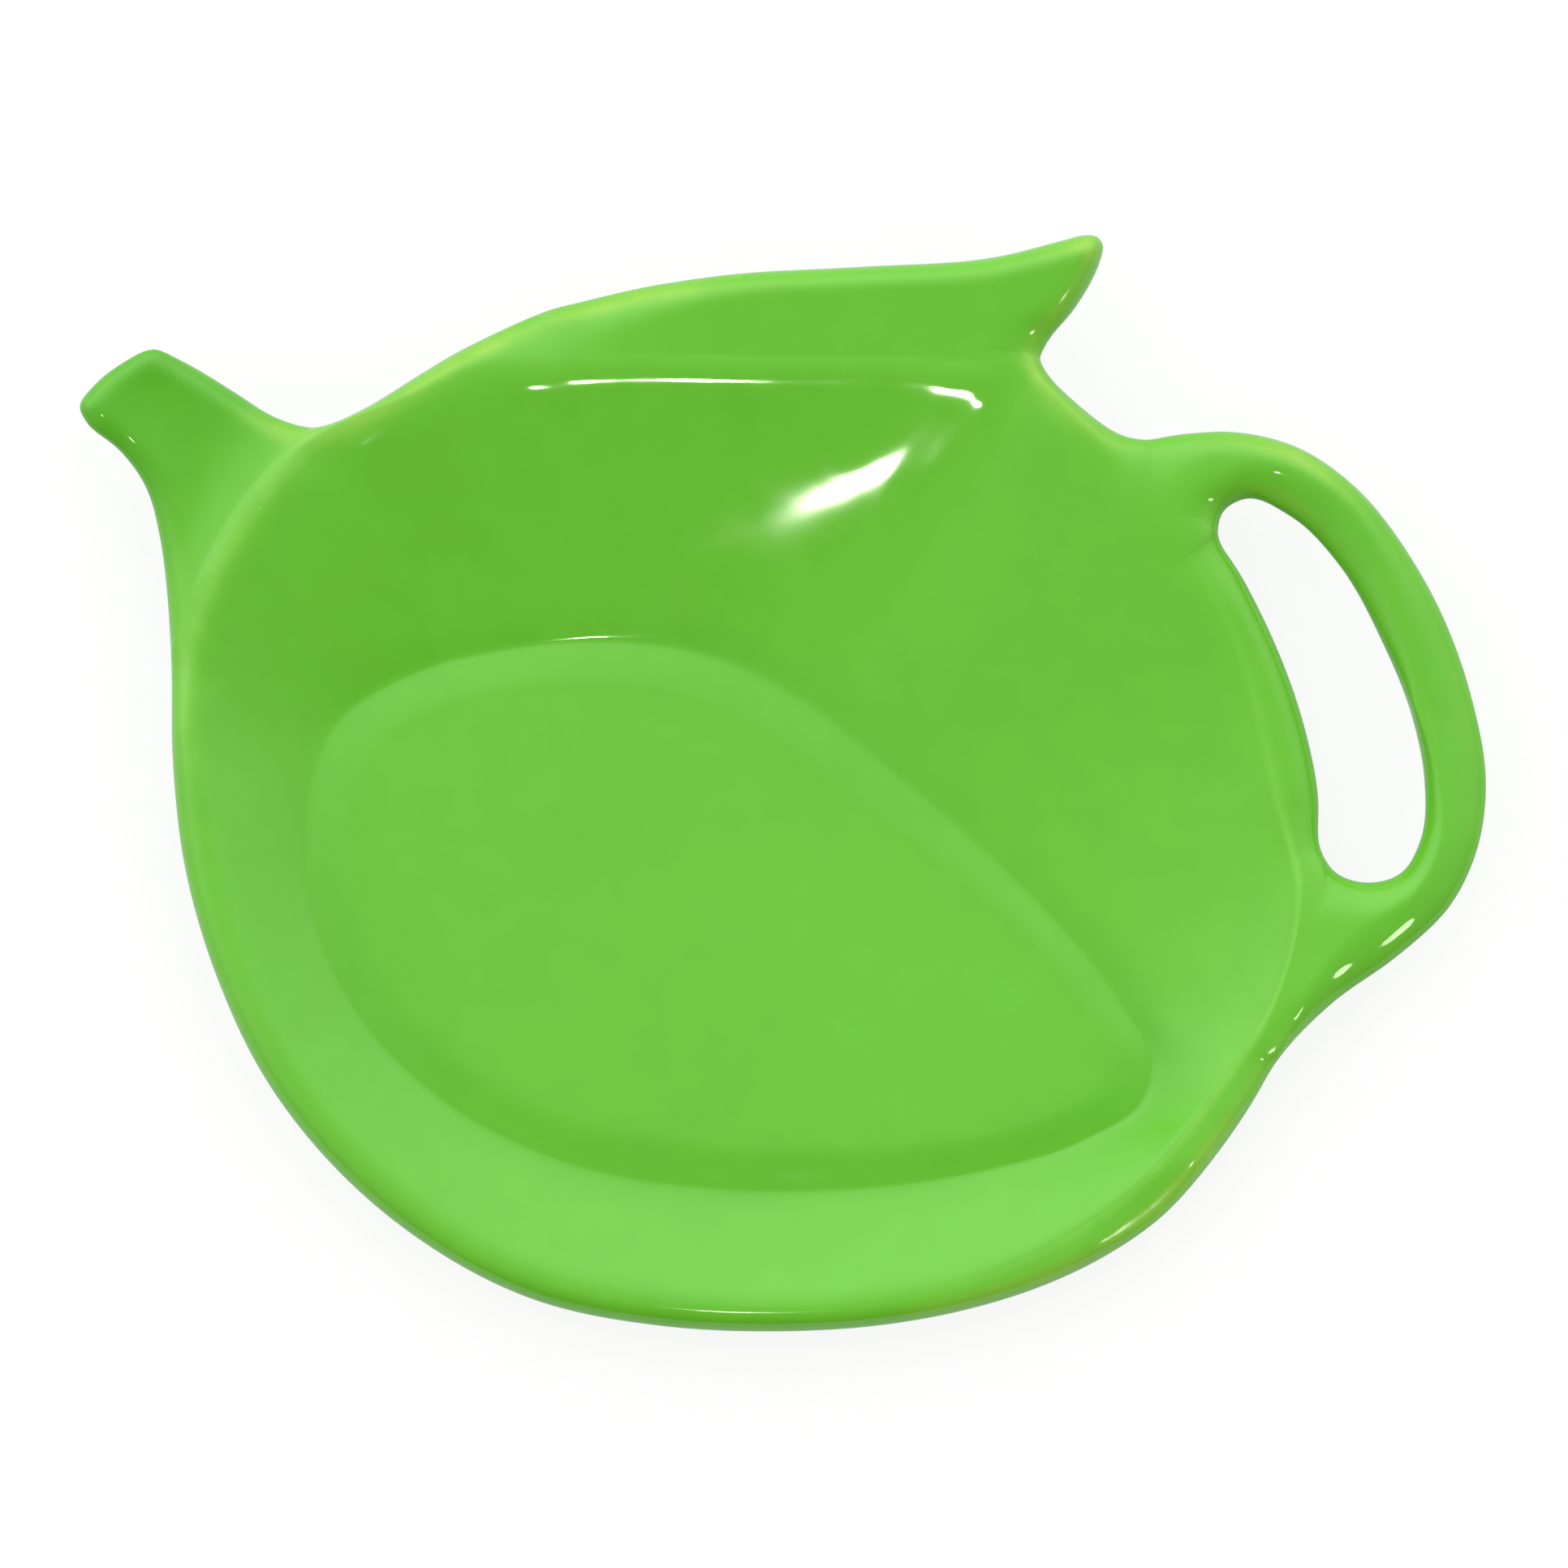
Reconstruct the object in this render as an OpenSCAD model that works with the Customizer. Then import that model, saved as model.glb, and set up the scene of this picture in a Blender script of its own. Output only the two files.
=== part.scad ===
// Tea bag rest in the outline of a teapot: a shallow glazed dish with a raised
// oval floor. A spout, a lid and a looped handle grow out of its rim, and it
// stands on a bare ring under the floor. Seen from above, the spout points
// to -X, the handle to +X and the lid to +Y. The table is at Z = 0.

/* [Overall] */
// Length over the spout and the handle
rest_l = 127; // [100:1:160]
// Width from the lower rim to the tip of the lid
rest_w = 99; // [80:1:125]
// Height of the rim's crest above the table, at the lid
rim_h = 11.5; // [10:0.5:16]

/* [Rim] */
// Thickness of the rim at its crest
rim_t = 4.8; // [3.5:0.1:6]
// How much lower the rim is along its lower side than at the lid
rim_drop = 2.4; // [0:0.1:3]
// Distance over which the free edges round over
roll_w = 2; // [1.5:0.1:3.5]
// Land between the crest and the root of what grows out of the rim
root_land = 1.3; // [0.8:0.1:2]

/* [Floor] */
// Thickness of the floor in the valley round the raised oval
floor_t = 3.8; // [2.8:0.1:4.4]
// Height of the raised oval above the valley
oval_rise = 0.5; // [0.2:0.1:1.2]
// Width of the soft step between the valley and the oval
step_w = 4.4; // [2:0.1:6]
// Radius of the curve between the valley and the wall
wall_r = 3; // [1:0.5:10]
// Width of the fillet between the wall and the crest of the rim
crest_fillet = 1.8; // [0.4:0.1:2.6]

/* [Foot] */
// Height of the foot ring
foot_h = 1.5; // [1:0.1:2.5]
// Width of the foot ring
foot_w = 3; // [2:0.1:4]
// Height of the hollow inside the foot ring, above the ring's top
recess_h = 1; // [0.4:0.1:1.5]

/* [Spout, lid and handle] */
// Thickness of the spout at its tip
spout_t = 4; // [3:0.1:5]
// Depth that the spout falls away behind the ridge at its root
spout_dip = 1.2; // [0:0.1:2]
// Rise of the spout from there to its tip
spout_rise = 3.4; // [0:0.1:4]
// Depth of the ridge's own fall, from its crest to the spout's root
ridge_dip = 0.4; // [0:0.1:0.8]
// Rise of the lid from the rim's crest to its tip
lid_rise = 1.6; // [0:0.1:2.2]
// Extra width of the rounded edge at the lid's low end
low_end_roll = 2.5; // [0:0.1:3]
// Thickness of the handle's oval section
handle_t = 5; // [4:0.1:6.5]

/* [Hidden] */

glaze = [0.45, 0.77, 0.26];
bare_clay = [0.93, 0.88, 0.79];

// Share of the thickness that stays upright on the outermost edge
edge_share = 0.14;
// Share of the handle's length over which each root blends into the loop
root_share = 0.16;
// Share of a root's line over which it leaves each of its corners
corner_share = 0.4;
// Share of the spout's and the lid's length over which the bow of an end fades out
bow_share = 0.7;
// Share of the spout's length over which it falls away behind the ridge
fall_share = 0.12;
// Share of the step that lies outside the oval's edge
step_out = 0.2;
// Share of the wall's rise that steepens towards the crest
wall_lift = 0.18;
// Shares of the width between which the rim rises from its lower side
drop_span = [0.45, 0.85];
// Share of the width where the lid's rise starts
lid_from = 0.885;
// Shares of the length between which the lid starts to rise
lid_span = [0.3, 0.45];
// Shares of the length between which the wide rounded edge comes and goes, and
// shares of the width between which it comes
low_end_in = [0.15, 0.25];
low_end_out = [0.3, 0.5];
low_end_up = [0.8, 0.87];
// Degrees to each side over which the direction of the oval's edge is taken
normal_span = 4;
// Where the handle's crest lies across it, 0 at the hole and 1 at the outline,
// against the share of its length
handle_lean = [[0, 0.5], [0.25, 0.72], [0.55, 0.15], [0.72, 0.4], [1, 0.5]];

// Points below are shares of the length, from the spout's tip, and of the
// width, from the lower rim. They run anticlockwise, seen from above.

// Centre that the dish's sections radiate from
centre_shares = [0.445, 0.378];

// Crest of the rim
crest_shares = [
    [0.866, 0.407], [0.852, 0.475], [0.820, 0.633], [0.768, 0.744],
    [0.716, 0.822], [0.671, 0.873], [0.623, 0.884], [0.497, 0.889],
    [0.347, 0.890], [0.289, 0.885], [0.231, 0.852], [0.172, 0.820],
    [0.129, 0.762], [0.090, 0.674], [0.0755, 0.593], [0.088, 0.452],
    [0.125, 0.292], [0.2015, 0.155], [0.310, 0.060], [0.4265, 0.026],
    [0.5435, 0.0255], [0.658, 0.059], [0.751, 0.135], [0.808, 0.222],
    [0.854, 0.319]
];

// Edge of the raised oval
oval_shares = [
    [0.755, 0.248], [0.732, 0.303], [0.653, 0.417], [0.571, 0.507],
    [0.510, 0.568], [0.447, 0.608], [0.375, 0.622], [0.301, 0.615],
    [0.238, 0.593], [0.190, 0.554], [0.165, 0.445], [0.206, 0.288],
    [0.263, 0.216], [0.344, 0.164], [0.445, 0.140], [0.543, 0.138],
    [0.629, 0.151], [0.710, 0.181], [0.748, 0.213]
];

// Outline, one list for each stretch. A stretch ends where the next begins.
lower_edge_shares = [
    [0.064, 0.615], [0.065, 0.519], [0.073, 0.427], [0.0955, 0.326],
    [0.133, 0.226], [0.1705, 0.163], [0.231, 0.0925], [0.3205, 0.0295],
    [0.413, 0.005], [0.490, 0.000], [0.577, 0.007], [0.635, 0.0215],
    [0.685, 0.042], [0.729, 0.069]
];
right_edge_shares = [[0.766, 0.1015], [0.810, 0.165], [0.832, 0.206]];
handle_outer_shares = [
    [0.851, 0.247], [0.889, 0.2985], [0.938, 0.344], [0.975, 0.3895],
    [0.995, 0.446], [1.000, 0.4985], [0.990, 0.576], [0.950, 0.698],
    [0.900, 0.778], [0.867, 0.806], [0.820, 0.821], [0.780, 0.8185]
];
shoulder_shares = [
    [0.755, 0.814], [0.739, 0.818], [0.7245, 0.8295], [0.707, 0.848],
    [0.6875, 0.873]
];
lid_end_shares = [
    [0.682, 0.887], [0.686, 0.900], [0.706, 0.932], [0.7175, 0.9555],
    [0.725, 0.978]
];
lid_top_shares = [
    [0.7265, 0.990], [0.7225, 0.9985], [0.7145, 1.000], [0.698, 0.995],
    [0.655, 0.981], [0.554, 0.971], [0.462, 0.964], [0.399, 0.952],
    [0.355, 0.939]
];
lid_start_shares = [[0.336, 0.933]];
upper_edge_shares = [
    [0.321, 0.926], [0.2975, 0.9125], [0.266, 0.8925], [0.231, 0.865],
    [0.2005, 0.841]
];
spout_upper_shares = [
    [0.166, 0.825], [0.139, 0.834], [0.110, 0.857], [0.073, 0.885]
];
spout_tip_shares = [
    [0.0535, 0.8955], [0.029, 0.882], [0.009, 0.861], [0.000, 0.844]
];
spout_lower_shares = [
    [0.006, 0.828], [0.028, 0.8045], [0.0465, 0.772], [0.0565, 0.724],
    [0.0615, 0.670]
];
outline_lists = [
    lower_edge_shares, right_edge_shares, handle_outer_shares, shoulder_shares,
    lid_end_shares, lid_top_shares, lid_start_shares, upper_edge_shares,
    spout_upper_shares, spout_tip_shares, spout_lower_shares
];

// Hole of the handle: its side on the dish, then its side on the loop
hole_dish_shares = [
    [0.883, 0.437], [0.8805, 0.490], [0.867, 0.568], [0.847, 0.635],
    [0.824, 0.693]
];
hole_loop_shares = [
    [0.8085, 0.728], [0.812, 0.748], [0.8275, 0.760], [0.860, 0.744],
    [0.8945, 0.700], [0.925, 0.631], [0.9475, 0.559], [0.956, 0.502],
    [0.953, 0.448], [0.9395, 0.4185], [0.9135, 0.410], [0.892, 0.420]
];
hole_lists = [hole_dish_shares, hole_loop_shares];

// Steps of a curve between two of its points
curve_steps = 6;
// Steps across the oval's step, up the wall, over the rim, under it and back
step_rows = 4;
wall_rows = 8;
roll_rows = 5;
under_rows = 3;
base_rows = 5;
// Steps along what grows out of the rim
spout_rows = 12;
lid_rows = 8;
handle_rows = 44;

// Height of the valley's surface
valley_h = foot_h + floor_t;

// General functions
function mix(a, b, s) = a + (b - a) * s;
function last(list) = list[len(list) - 1];
function tail(list) = [for (i = [1 : len(list) - 1]) list[i]];
function reversed(list) = [for (i = [len(list) - 1 : -1 : 0]) list[i]];
function within(s) = max(0, min(1, s));
function soft(s) = s * s * (3 - 2 * s);
function total(list, i = 0) = i < len(list) ? list[i] + total(list, i + 1) : 0;
// Quarter of an ellipse that rises from 0 to 1
function round_over(s) = s < 1 ? sqrt(1 - pow(1 - s, 2)) : 1;
// Steps from 0 to 1: even, closer together near 1, and near both ends
function even(n) = [for (i = [0 : n]) i / n];
function late(n) = [for (s = even(n)) sin(90 * s)];
function closing(n) = [for (s = even(n)) 1 - pow(1 - s, 3 / 2)];
function both_ends(n) = [for (s = even(n)) (1 - cos(180 * s)) / 2];

function place(shares) =
    [rest_l * (shares[0] - 1 / 2), rest_w * (shares[1] - 1 / 2)];

// Smooth curve through points. Its direction at a point leans towards the
// nearer of the two neighbours.
function lean(p, c, n) =
    let (a = norm(c - p), b = norm(n - c))
    ((c - p) * b / a + (n - c) * a / b) / (a + b);
function bend(p, c, n, q, s) =
    let (d = norm(n - c))
    c * (1 + 2 * s) * pow(1 - s, 2) + n * s * s * (3 - 2 * s)
    + lean(p, c, n) * d * s * pow(1 - s, 2) - lean(c, n, q) * d * s * s * (1 - s);
function closed_curve(points) =
    let (n = len(points))
    [for (k = [0 : n - 1], i = [0 : curve_steps - 1])
        bend(points[(k + n - 1) % n], points[k], points[(k + 1) % n],
             points[(k + 2) % n], i / curve_steps)];

function loop(points) = let (curve = closed_curve(points)) concat(curve, [curve[0]]);

// The k-th stretch of a closed curve that is made of several lists
function first(lists, k) = total([for (i = [0 : 1 : k - 1]) len(lists[i])]) * curve_steps;
function stretch(curve, lists, k) =
    [for (i = [first(lists, k) : first(lists, k + 1)]) curve[i]];

// Point at a share of a curve's length
function lengths(curve, i = 0, done = 0) =
    i < len(curve) - 1
        ? concat([done], lengths(curve, i + 1, done + norm(curve[i + 1] - curve[i])))
        : [done];
function along(curve, shares) =
    let (at = lengths(curve), n = len(curve) - 1)
    [for (s = shares)
        [for (axis = [0, 1])
            lookup(s * last(at), [for (i = [0 : n]) [at[i], curve[i][axis]]])]];

// Distance from the centre to an open curve, in a direction
centre = place(centre_shares);
function reach(curve, dir) =
    max([for (i = [0 : len(curve) - 2])
        let (a = curve[i] - centre, b = curve[i + 1] - centre,
             side_a = cross(dir, a), side_b = cross(dir, b))
        if ((side_a > 0) != (side_b > 0)) mix(a, b, side_a / (side_a - side_b)) * dir]);

// Distance from a point to the nearest place on a curve
function gap(p, curve) =
    min([for (i = [0 : len(curve) - 2])
        let (a = curve[i], d = curve[i + 1] - a)
        norm(p - a - d * within((p - a) * d / (d * d)))]);

crest = loop([for (shares = crest_shares) place(shares)]);
oval = loop([for (shares = oval_shares) place(shares)]);
outline = loop([for (list = outline_lists, shares = list) place(shares)]);
hole = loop([for (list = hole_lists, shares = list) place(shares)]);

lower_edge = stretch(outline, outline_lists, 0);
right_edge = stretch(outline, outline_lists, 1);
handle_outer = stretch(outline, outline_lists, 2);
shoulder = stretch(outline, outline_lists, 3);
lid_end = stretch(outline, outline_lists, 4);
lid_top = stretch(outline, outline_lists, 5);
lid_start = stretch(outline, outline_lists, 6);
upper_edge = stretch(outline, outline_lists, 7);
spout_upper = stretch(outline, outline_lists, 8);
spout_tip = stretch(outline, outline_lists, 9);
spout_lower = stretch(outline, outline_lists, 10);
hole_dish = stretch(hole, hole_lists, 0);
hole_loop = stretch(hole, hole_lists, 1);

// The rim in nine zones, anticlockwise from the handle's lower root. In each,
// the rim ends at a free edge, or at the root of what grows out of it there.
// Each zone has its first corner, its free edge or none, and its sections.
LOW_ROOT = 0;
TOP_ROOT = 2;
LID_ROOT = 4;
SPOUT_ROOT = 6;
zones = [
    [handle_outer[0], [], 10],
    [hole_dish[0], hole_dish, 12],
    [hole_loop[0], [], 10],
    [shoulder[0], shoulder, 6],
    [lid_end[0], [], 24],
    [upper_edge[0], upper_edge, 8],
    [spout_upper[0], [], 12],
    [lower_edge[0], lower_edge, 34],
    [right_edge[0], right_edge, 14]
];
function corner(k) = zones[k % len(zones)][0];
function is_root(k) = len(zones[k][1]) == 0;
function zone_shares(k) = is_root(k) ? both_ends(zones[k][2]) : even(zones[k][2]);
function bearing(p) = atan2(p[1] - centre[1], p[0] - centre[0]);

// Distance from the centre to the end of the rim, at a share of a zone
function rim_dir(k, s) =
    let (from = bearing(corner(k)), to = bearing(corner(k + 1)),
         angle = mix(from, to + (to < from ? 360 : 0), s))
    [cos(angle), sin(angle)];
function corner_reach(k) = norm(corner(k) - centre);
function corner_land(k) = corner_reach(k) - reach(crest, (corner(k) - centre) / corner_reach(k));
function land(k, s) =
    mix(corner_land(s < 1 / 2 ? k : k + 1), root_land,
        soft(within(min(s, 1 - s) / corner_share)));
function rim_reach(k, s) =
    s == 0 ? corner_reach(k)
    : s == 1 ? corner_reach(k + 1)
    : is_root(k) ? reach(crest, rim_dir(k, s)) + land(k, s)
    : reach(zones[k][1], rim_dir(k, s));
function root_line(k) =
    [for (s = zone_shares(k)) centre + rim_dir(k, s) * rim_reach(k, s)];

// Middle height of the rim's thickness. It falls towards the lower side, and
// rises along the lid.
function x_share(p) = p[0] / rest_l + 1 / 2;
function y_share(p) = p[1] / rest_w + 1 / 2;
function between(value, span) = soft(within((value - span[0]) / (span[1] - span[0])));
function rim_mid(p) =
    rim_h - rim_t / 2 - rim_drop * (1 - between(y_share(p), drop_span))
    + lid_rise * within((y_share(p) - lid_from) / (1 - lid_from))
    * between(x_share(p), lid_span);
function end_dip(k, s) = k == SPOUT_ROOT ? ridge_dip * sin(180 * s) : 0;

// Share of the thickness that the rounded free edges leave. They round over
// faster where the crest runs close to the edge.
function edge_gap(p) = min(gap(p, outline), gap(p, hole));
function low_end(p) =
    between(x_share(p), low_end_in) * (1 - between(x_share(p), low_end_out))
    * between(y_share(p), low_end_up);
function roll_at(p, to_edge) =
    min(roll_w + low_end_roll * low_end(p), gap(p, crest) + to_edge);
function rim_share(p) =
    let (to_edge = edge_gap(p))
    max(edge_share, round_over(to_edge / roll_at(p, to_edge)));

// Where each section of the dish lies, as a zone and a share of it
stations = [
    for (k = [0 : len(zones) - 1], i = [0 : zones[k][2] - 1]) [k, zone_shares(k)[i]]
];
function station_dir(i) = rim_dir(stations[i][0], stations[i][1]);
function on(curve, dir) = centre + dir * reach(curve, dir);
function turned(dir, angle) =
    [dir[0] * cos(angle) - dir[1] * sin(angle), dir[0] * sin(angle) + dir[1] * cos(angle)];
function oval_normal(dir) =
    let (d = on(oval, turned(dir, normal_span)) - on(oval, turned(dir, -normal_span)))
    [d[1], -d[0]] / norm(d);

// Rise of the wall, from 0 to 1, at a distance from its low end: it turns up,
// steepens by a share, the lift, and ends in a fillet
function wall_base(x, run, sweep, lift) =
    (1 - lift) * (norm([x, sweep]) - sweep) / (norm([run, sweep]) - sweep)
    + lift * pow(x / run, 3);
function wall_slope(x, run, sweep, lift) =
    (1 - lift) * x / norm([x, sweep]) / (norm([run, sweep]) - sweep)
    + 3 * lift * pow(x / run, 2) / run;
function wall_share(x, run, rise, lift) =
    let (sweep = wall_r * rise / run, turn = run - crest_fillet,
         round = wall_slope(turn, run, sweep, lift) * crest_fillet / 2,
         end = wall_base(turn, run, sweep, lift) + round)
    x < turn ? wall_base(x, run, sweep, lift) / end
             : 1 - round * pow((run - x) / crest_fillet, 2) / end;

// Points of one section: from the oval over the crest and back under the dish
function raised(xy, z) = [xy[0], xy[1], z];
function step_points(inner, valley) =
    [for (s = even(step_rows))
        raised(mix(inner, valley, s), valley_h + oval_rise * (1 - soft(s)))];
function wall_points(low, low_z, top, top_z, lift, shares) =
    let (run = norm(top - low), rise = top_z - low_z)
    [for (s = shares)
        raised(mix(low, top, s), low_z + rise * wall_share(run * s, run, rise, lift))];
function roll_points(from, end, dip, side, shares) =
    [for (f = shares)
        let (p = mix(from, end, f))
        raised(p, rim_mid(p) - dip * f * f + side * rim_t / 2 * rim_share(p))];
function section_points(i) =
    let (k = stations[i][0], s = stations[i][1], dir = station_dir(i),
         out = oval_normal(dir), edge = on(oval, dir), top = on(crest, dir),
         end = centre + dir * rim_reach(k, s), dip = end_dip(k, s),
         inner = edge - dir * step_w * (1 - step_out),
         valley = edge + dir * step_w * step_out,
         high = rim_mid(top) + rim_t / 2)
    concat(
        step_points(inner, valley),
        wall_points(valley, valley_h, top, high, wall_lift, tail(closing(wall_rows))),
        roll_points(top, end, dip, 1, tail(late(roll_rows))),
        roll_points(top, end, dip, -1, reversed(late(under_rows))),
        wall_points(edge + out * pad_half, foot_h, top, high - rim_t, 0,
            tail(reversed(even(base_rows)))),
        [raised(edge - out * pad_half, foot_h),
         raised(edge - out * (pad_half + recess_h), foot_h + recess_h)]
    );
// Flat pad that the foot ring sits on: half its width, on the oval's edge
pad_margin = 0.4;
pad_half = foot_w / 2 + pad_margin;

// Faces between rows of points. A row is a ring, and all have the same size.
function ring_faces(rows, size) =
    [for (i = [0 : rows - 2], j = [0 : size - 1])
        let (a = i * size + j, b = i * size + (j + 1) % size)
        each [[a, b, a + size], [b, b + size, a + size]]];

module dish() {
    size = len(stations);
    sections = [for (j = [0 : size - 1]) section_points(j)];
    rows = len(sections[0]);
    points = [for (i = [0 : rows - 1], section = sections) section[i]];
    color(glaze)
        polyhedron(points, concat(
            ring_faces(rows, size),
            [reversed([for (j = [0 : size - 1]) j])],
            [[for (j = [0 : size - 1]) (rows - 1) * size + j]]
        ));
}

// Grid of points between four curves. The sides run from the first end to the
// second, and the ends run from the first side to the second. Away from an end,
// its bow fades out over a share of the length.
function bow(end, vs, j) = end[j] - mix(end[0], last(end), vs[j]);
function patch(side_a, side_b, end_a, end_b, us, vs, fade) =
    [for (i = [0 : len(us) - 1])
        [for (j = [0 : len(vs) - 1])
            mix(side_a[i], side_b[i], vs[j])
            + bow(end_a, vs, j) * (1 - soft(min(1, us[i] / fade)))
            + bow(end_b, vs, j) * (1 - soft(min(1, (1 - us[i]) / fade)))]];

// Solid over a grid of points, with a middle height and a thickness for each
module slab(grid, mid, thick) {
    rows = len(grid);
    cols = len(grid[0]);
    size = 2 * cols;
    function at(i, j, side) =
        [grid[i][j][0], grid[i][j][1], mid[i][j] + side * thick[i][j] / 2];
    points = [
        for (i = [0 : rows - 1])
            each concat([for (j = [0 : cols - 1]) at(i, j, 1)],
                        [for (j = [cols - 1 : -1 : 0]) at(i, j, -1)])
    ];
    function cap(row) =
        [for (j = [0 : cols - 2])
            let (a = row * size + j, b = row * size + size - 1 - j)
            each [[a, b, a + 1], [a + 1, b, b - 1]]];
    function flipped(faces) = [for (f = faces) reversed(f)];
    polyhedron(points, concat(ring_faces(rows, size), cap(0), flipped(cap(rows - 1))));
}

module spout() {
    us = both_ends(spout_rows);
    vs = zone_shares(SPOUT_ROOT);
    side_a = along(spout_upper, us);
    side_b = along(reversed(spout_lower), us);
    grid = patch(side_a, side_b, root_line(SPOUT_ROOT), along(spout_tip, vs), us, vs,
                 bow_share);
    mid = [for (i = [0 : spout_rows]) [for (j = [0 : len(vs) - 1])
        let (u = us[i])
        rim_mid(grid[i][j]) - end_dip(SPOUT_ROOT, vs[j])
        - spout_dip * (1 - exp(-u / fall_share)) + spout_rise * u * u]];
    thick = [for (i = [0 : spout_rows]) [for (p = grid[i])
        mix(rim_t, spout_t, us[i]) * rim_share(p)]];
    color(glaze) slab(grid, mid, thick);
}

module lid() {
    us = late(lid_rows);
    vs = zone_shares(LID_ROOT);
    side_a = along(lid_end, us);
    side_b = along(reversed(lid_start), us);
    grid = patch(side_a, side_b, root_line(LID_ROOT), along(lid_top, vs), us, vs, bow_share);
    mid = [for (row = grid) [for (p = row) rim_mid(p)]];
    thick = [for (row = grid) [for (p = row) rim_t * rim_share(p)]];
    color(glaze) slab(grid, mid, thick);
}

module handle() {
    us = both_ends(handle_rows);
    vs = zone_shares(TOP_ROOT);
    side_a = along(hole_loop, us);
    side_b = along(reversed(handle_outer), us);
    grid = patch(side_a, side_b, root_line(TOP_ROOT), reversed(root_line(LOW_ROOT)),
                 us, vs, root_share);
    mid = [for (row = grid) [for (p = row) rim_mid(p)]];
    thick = [for (i = [0 : handle_rows]) [for (p = grid[i])
        let (root = soft(within(min(us[i], 1 - us[i]) / root_share)),
             width = norm(side_b[i] - side_a[i]), lean = lookup(us[i], handle_lean),
             to_hole = gap(p, hole), to_outline = gap(p, outline),
             roll = roll_at(p, min(to_hole, to_outline)),
             inner = round_over(to_hole / mix(roll, width * lean, root)),
             outer = round_over(to_outline / mix(roll, width * (1 - lean), root)))
        mix(rim_t, handle_t, root) * max(edge_share, min(inner, outer))]];
    color(glaze) slab(grid, mid, thick);
}

module foot_ring() {
    function ring_points(offset) =
        [for (i = [0 : len(stations) - 1])
            let (dir = station_dir(i)) on(oval, dir) + oval_normal(dir) * offset];
    color(bare_clay)
        linear_extrude(foot_h)
            difference() {
                polygon(ring_points(foot_w / 2));
                polygon(ring_points(-foot_w / 2));
            }
}

dish();
spout();
lid();
handle();
foot_ring();
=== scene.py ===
# Looks of the tea bag rest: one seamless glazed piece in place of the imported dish,
# spout, lid and handle, the bare foot ring, and the studio. Lengths are in metres.
from math import cos, pi, radians, sin

import bmesh
import bpy
import numpy as np
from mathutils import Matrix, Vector


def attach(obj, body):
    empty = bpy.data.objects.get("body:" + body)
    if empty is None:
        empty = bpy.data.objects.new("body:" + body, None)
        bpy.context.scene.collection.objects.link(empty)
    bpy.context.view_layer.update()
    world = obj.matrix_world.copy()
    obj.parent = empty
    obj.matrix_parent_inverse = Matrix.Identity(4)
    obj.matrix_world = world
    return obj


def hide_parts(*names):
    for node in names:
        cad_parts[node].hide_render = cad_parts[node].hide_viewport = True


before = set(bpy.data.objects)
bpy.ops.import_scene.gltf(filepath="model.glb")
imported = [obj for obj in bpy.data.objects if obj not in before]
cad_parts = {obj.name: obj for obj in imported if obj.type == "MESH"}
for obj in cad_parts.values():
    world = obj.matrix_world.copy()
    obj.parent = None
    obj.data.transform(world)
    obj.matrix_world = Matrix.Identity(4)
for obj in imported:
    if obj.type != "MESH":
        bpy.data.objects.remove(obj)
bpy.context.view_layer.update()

# Sizes of the rest, which repeat those of the solids
REST_L = 0.127
REST_W = 0.099
RIM_H = 0.0115
RIM_DROP = 0.0024
RIM_T = 0.0048
ROLL_W = 0.002
ROOT_LAND = 0.0013
FLOOR_T = 0.0038
OVAL_RISE = 0.0005
STEP_W = 0.0044
WALL_R = 0.003
FOOT_H = 0.0015
FOOT_W = 0.003
RECESS_H = 0.001
PAD_MARGIN = 0.0004
SPOUT_T = 0.004
RIDGE_DIP = 0.0004
LID_RISE = 0.0016
LOW_END_ROLL = 0.0025
HANDLE_T = 0.005

# Shares of a width, a length or a height, as in the solids
STEP_OUT = 0.2
WALL_LIFT = 0.18
EDGE_SHARE = 0.14
ROOT_SHARE = 0.16
CORNER_SHARE = 0.4
BOW_SHARE = 0.7
DROP_SPAN = (0.45, 0.85)
LID_FROM = 0.885
LID_SPAN = (0.3, 0.45)
LOW_END_IN = (0.15, 0.25)
LOW_END_OUT = (0.3, 0.5)
LOW_END_UP = (0.8, 0.87)

MOAT_H = FOOT_H + FLOOR_T
PAD_HALF = FOOT_W / 2 + PAD_MARGIN

# Finer forms than the solids have, read from the photo's shading. Directions are
# angles from +X, anticlockwise. A form is whole as far as a span's first angle to
# either side, and has faded out at the second.
# The spout falls from its root and rises again towards its tip
SPOUT_DIP = 0.0009
SPOUT_RISE = 0.0030
FALL_SHARE = 0.4
RISE_POWER = 2.5
# The wall is straighter, with a tighter foot, at the upper left and where it is short
STRAIGHT_AT = radians(118)
STRAIGHT_SPAN = (radians(0), radians(50))
STRAIGHT_LIFT = 0.05
STRAIGHT_SWEEP = 0.12
SHORT_RUN = (0.006, 0.014)
SHORT_SWEEP = 0.4
# The fillet under the crest is soft, softer along the ridge and crisp at the right
FILLET_SOFT = 0.0022
FILLET_RIDGE = 0.0029
FILLET_CRISP = 0.0004
RIDGE_AT = radians(90)
RIDGE_SPAN = (radians(30), radians(50))
CRISP_AT = radians(-12)
CRISP_SPAN = (radians(0), radians(58))
# Heights are evened out round the corners where a root meets a free edge
CALM_R, CALM_EDGE = 0.006, 1.6
CALM_SHARE, CALM_PASSES = 0.7, 14
# Where the handle's crest lies across it: 0 at the hole, 1 at the outline
HANDLE_LEAN = [(0, 0.5), (0.25, 0.72), (0.55, 0.07), (0.72, 0.3), (1, 0.5)]

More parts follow.
